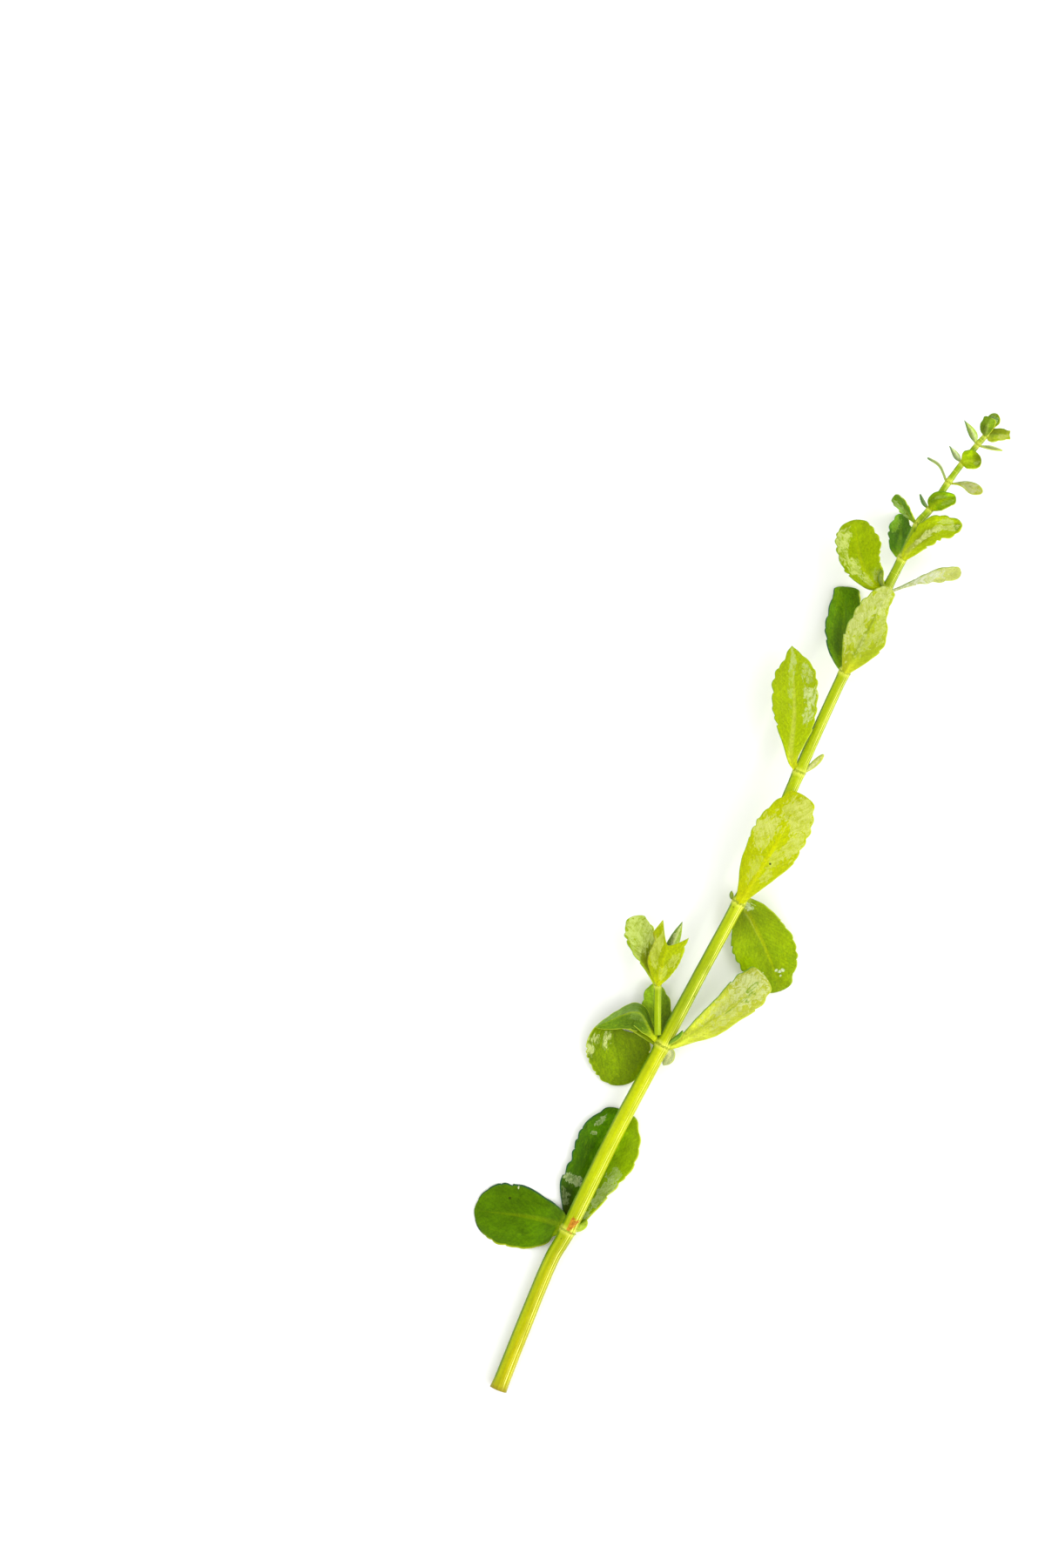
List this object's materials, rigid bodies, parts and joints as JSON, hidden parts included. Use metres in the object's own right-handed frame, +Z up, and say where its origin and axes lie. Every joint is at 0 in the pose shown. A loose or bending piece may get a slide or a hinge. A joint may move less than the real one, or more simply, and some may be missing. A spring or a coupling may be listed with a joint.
{
  "type": "cut water hyssop stem",
  "caption": "Cut stem of water hyssop lying flat: a gently bent fleshy stem with small rounded leaves at its knots, a short side shoot and a bud at the tip.",
  "frame": {"origin": "middle of the sprig's outline in plan, at the surface that it lies on", "axes": "+Y runs from the cut end to the tip, +X to the right as seen from above, +Z up"},
  "size_m": [0.1104, 0.2026, 0.0146],
  "materials": {
    "stem": "satin, fleshy yellow-green",
    "leaf_dark": "glossy deep green upper face",
    "leaf_mid": "glossy mid green",
    "leaf_pale": "damp pale green under face"
  },
  "bodies": {
    "root": {"leaf_10_left": "leaf_pale", "leaf_10_right": "leaf_pale", "leaf_11_back": "leaf_dark", "leaf_11_front": "leaf_mid", "leaf_12_left": "leaf_mid", "leaf_12_right": "leaf_pale", "leaf_13_back": "leaf_mid", "leaf_13_front": "leaf_mid", "leaf_13_right": "leaf_mid", "leaf_1_left": "leaf_dark", "leaf_1_small": "leaf_mid", "leaf_1_under": "leaf_dark", "leaf_2_axil": "leaf_mid", "leaf_2_behind": "leaf_dark", "leaf_2_drooping": "leaf_dark", "leaf_2_low": "leaf_pale", "leaf_2_ridged": "leaf_dark", "leaf_2_right": "leaf_pale", "leaf_3_axil": "leaf_mid", "leaf_3_back": "leaf_mid", "leaf_3_front": "leaf_pale", "leaf_4_left": "leaf_mid", "leaf_4_small": "leaf_pale", "leaf_5_back": "leaf_dark", "leaf_5_front": "leaf_pale", "leaf_6_axil": "leaf_mid", "leaf_6_left": "leaf_mid", "leaf_6_right": "leaf_pale", "leaf_7_back": "leaf_dark", "leaf_7_front": "leaf_pale", "leaf_8_left": "leaf_mid", "leaf_9_back": "leaf_dark", "leaf_9_front": "leaf_mid", "main_stem": "stem", "shoot_leaf_back": "leaf_dark", "shoot_leaf_forked": "leaf_mid", "shoot_leaf_left": "leaf_pale", "side_shoot_stem": "stem", "tip_bud": "leaf_mid"}
  },
  "joints": []
}
